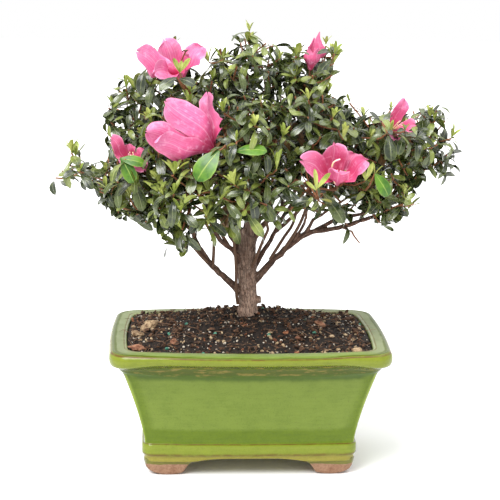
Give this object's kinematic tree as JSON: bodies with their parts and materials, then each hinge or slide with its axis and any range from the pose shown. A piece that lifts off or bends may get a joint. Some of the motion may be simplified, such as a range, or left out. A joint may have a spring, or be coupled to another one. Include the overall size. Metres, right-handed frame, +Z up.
{
  "type": "potted azalea bonsai",
  "caption": "Flowering azalea bonsai with a short forked trunk, spreading boughs and an open domed crown, in a glazed rectangular pot with a rolled rim on low bracket feet.",
  "frame": {"origin": "centre of the whole plant's outline seen from above, on the ground under the feet", "axes": "+Z up, +X to the right along the pot's long sides, with the tree's front towards -Y"},
  "size_m": [0.3008, 0.1904, 0.3203],
  "materials": {
    "glaze": "olive to yellow-green reduction glaze, glossy on the lip and the ledge, satin on the rim's top",
    "bare_clay": "unglazed terracotta",
    "soil": "dark bark chips and grit with a few pale grains",
    "bark": "matt grey-brown fissured bark",
    "foliage": "satin green leaves with pink blossoms"
  },
  "bodies": {
    "root": {"pot": "glaze", "foot_front_left": "bare_clay", "foot_front_right": "bare_clay", "foot_back_left": "bare_clay", "foot_back_right": "bare_clay", "soil": "soil", "trunk": "bark", "bough_left_low": "bark", "bough_left_side": "bark", "bough_left_arm": "bark", "twig_low_left": "bark", "bough_left_mid": "bark", "bough_left_back": "bark", "bough_right_low": "bark", "bough_right_upper": "bark", "twig_low_right": "bark", "bough_right_rise": "bark", "bough_right_thin": "bark", "bough_right_mid": "bark", "bough_right_fork": "bark", "bough_back": "bark", "bough_right_high": "bark", "bough_back_right": "bark", "leader_right": "bark", "bough_back_left": "bark", "bough_top_right": "bark", "bough_front": "bark", "bough_front_low": "bark", "leader_left": "bark", "bough_left_shoulder": "bark", "mass_left_arm": "foliage", "mass_left_low": "foliage", "mass_left_shoulder": "foliage", "mass_left_crown": "foliage", "mass_left_heart": "foliage", "mass_front_left": "foliage", "mass_low_left": "foliage", "mass_top": "foliage", "mass_centre_front": "foliage", "mass_front_low": "foliage", "mass_top_right": "foliage", "mass_right_crown": "foliage", "mass_front_right": "foliage", "mass_right_shoulder": "foliage", "mass_right_far": "foliage", "mass_right_arm": "foliage", "mass_right_low": "foliage", "mass_low_right": "foliage", "mass_back_left": "foliage", "mass_back_mid_left": "foliage", "mass_back_centre": "foliage", "mass_back_mid_right": "foliage", "mass_back_right": "foliage"}
  },
  "joints": []
}
